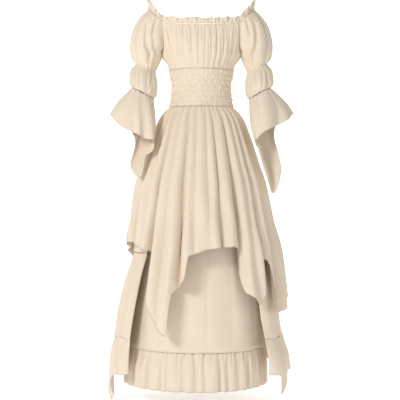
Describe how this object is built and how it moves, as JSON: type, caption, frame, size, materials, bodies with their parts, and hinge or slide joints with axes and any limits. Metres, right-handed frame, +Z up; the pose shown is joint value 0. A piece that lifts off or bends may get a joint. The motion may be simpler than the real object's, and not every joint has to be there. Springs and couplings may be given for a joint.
{
  "type": "long sleeve dress",
  "caption": "Off-shoulder dress with gathered bodice, smocked waistband, puffed sleeves with handkerchief bell cuffs, pointed overskirt, tiered side drape and ruffled underskirt.",
  "frame": {"origin": "centre of the smocked waistband, where the wearer's waist holds the dress", "axes": "+Z up, the front faces -Y, +X is the right of the front view"},
  "size_m": [0.6553, 0.5524, 1.4283],
  "materials": {
    "cloth": "matte woven cotton, warm cream beige"
  },
  "bodies": {
    "root": {"neck_frill": "cloth", "bodice_front": "cloth", "bodice_back": "cloth", "waistband_front": "cloth", "waistband_back": "cloth", "sleeve_left": "cloth", "sleeve_right": "cloth", "cuff_left": "cloth", "cuff_right": "cloth", "overskirt_front": "cloth", "overskirt_back": "cloth", "drape_upper": "cloth", "drape_lower": "cloth", "drape_ruffle": "cloth", "underskirt_front": "cloth", "underskirt_back": "cloth", "hem_ruffle_front": "cloth", "hem_ruffle_back": "cloth"}
  },
  "joints": []
}
